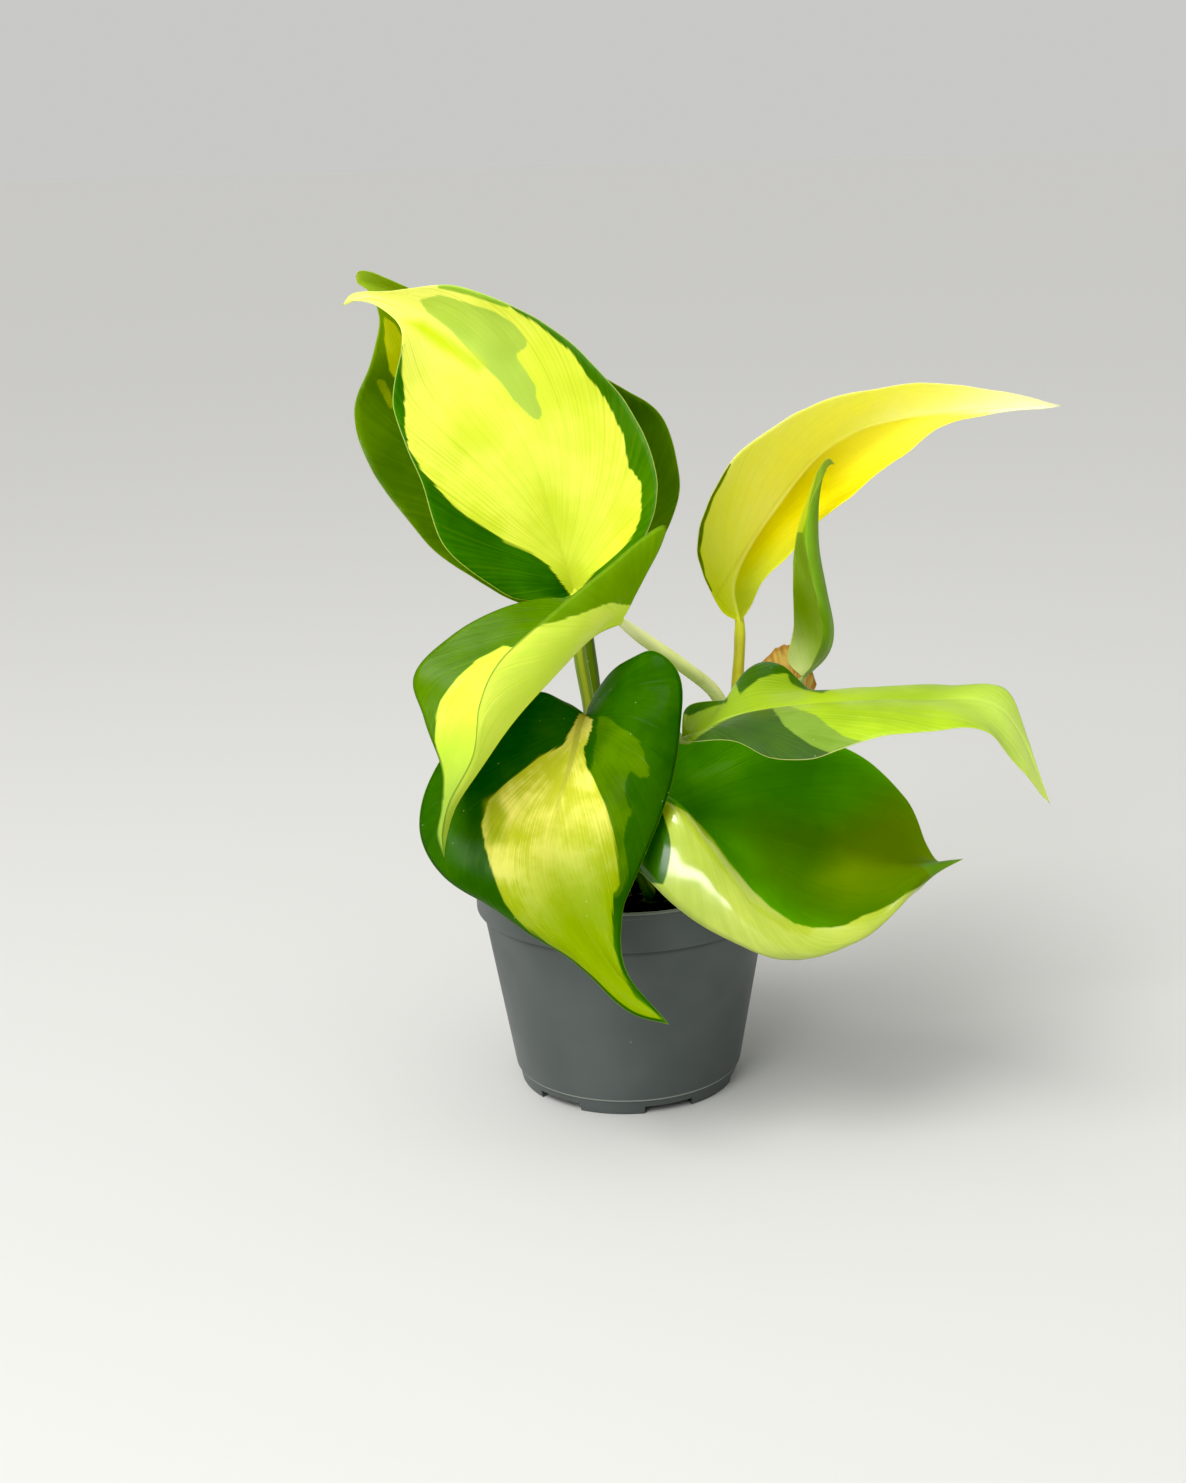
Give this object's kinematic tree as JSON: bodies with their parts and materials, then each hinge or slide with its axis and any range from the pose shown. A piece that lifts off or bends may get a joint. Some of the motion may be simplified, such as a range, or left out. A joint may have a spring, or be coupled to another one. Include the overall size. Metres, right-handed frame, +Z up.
{
  "type": "potted heart-leaf philodendron",
  "caption": "Young trailing philodendron with yellow-splashed heart-shaped leaves on long petioles, growing in a plastic nursery pot of peat.",
  "frame": {"origin": "on the pot's axis at the level of its foot ring and centre pad", "axes": "+Z up along the pot's axis; the pictured side faces -Y; +X to the viewer's right"},
  "size_m": [0.203, 0.129, 0.2401],
  "materials": {
    "pot": "blue-grey moulded plastic, slightly satin",
    "peat": "moist dark peat with small crumbs",
    "stem": "smooth living stalk, olive to yellow green",
    "dry_sheath": "dry papery brown",
    "leaf_lime": "lime yellow blade with green margins, soft gloss",
    "leaf_green": "deep green blade with yellow splashes, soft gloss",
    "leaf_yellow": "lemon yellow blade, soft gloss"
  },
  "bodies": {
    "root": {"pot": "pot", "peat": "peat", "stem_left": "stem", "stem_right": "stem", "stem_front": "stem", "sheath": "dry_sheath", "leaf_upper_front": "leaf_lime", "leaf_upper_back": "leaf_green", "leaf_folded_left": "leaf_lime", "leaf_front_hanging": "leaf_green", "leaf_right_reaching": "leaf_lime", "leaf_cupped_right": "leaf_green", "leaf_yellow_arching": "leaf_yellow", "leaf_young_rolled": "leaf_green"}
  },
  "joints": []
}
